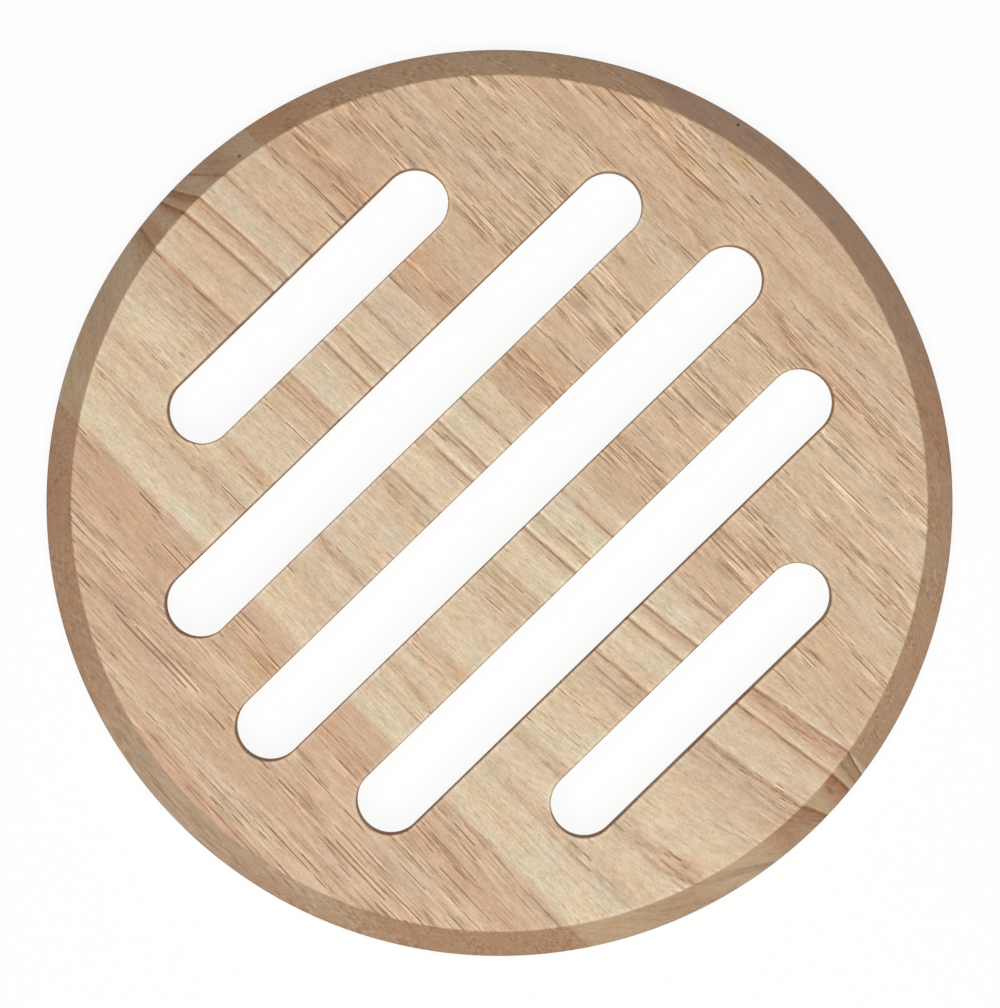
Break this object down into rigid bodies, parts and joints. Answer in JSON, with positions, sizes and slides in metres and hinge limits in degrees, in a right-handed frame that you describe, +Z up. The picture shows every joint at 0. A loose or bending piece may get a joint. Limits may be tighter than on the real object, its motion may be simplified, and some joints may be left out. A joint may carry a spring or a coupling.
{
  "type": "trivet",
  "caption": "Round flat wooden pot trivet glued up from staves, with a wide bevelled rim and parallel round-ended slots cut right through it.",
  "frame": {"origin": "centre of the round underside, on the surface that the trivet lies on", "axes": "+Z up out of the top face; +X along the slots, across the staves, towards the narrow rim stave; +Y along the grain"},
  "size_m": [0.2, 0.2, 0.015],
  "materials": {
    "left_stave_wood": "sanded and lightly oiled, matt, pinkish tan with fine dark pores",
    "middle_stave_wood": "sanded and lightly oiled, matt, pale cream with growth-ring stripes",
    "right_stave_wood": "sanded and lightly oiled, matt, warm tan with fine dark pores",
    "rim_stave_wood": "sanded and lightly oiled, matt, warm tan"
  },
  "bodies": {
    "root": {"left_stave": "left_stave_wood", "middle_stave_lower_end": "middle_stave_wood", "middle_stave_bar_1": "middle_stave_wood", "middle_stave_bar_2": "middle_stave_wood", "middle_stave_upper_end": "middle_stave_wood", "right_stave": "right_stave_wood", "rim_stave": "rim_stave_wood"}
  },
  "joints": []
}
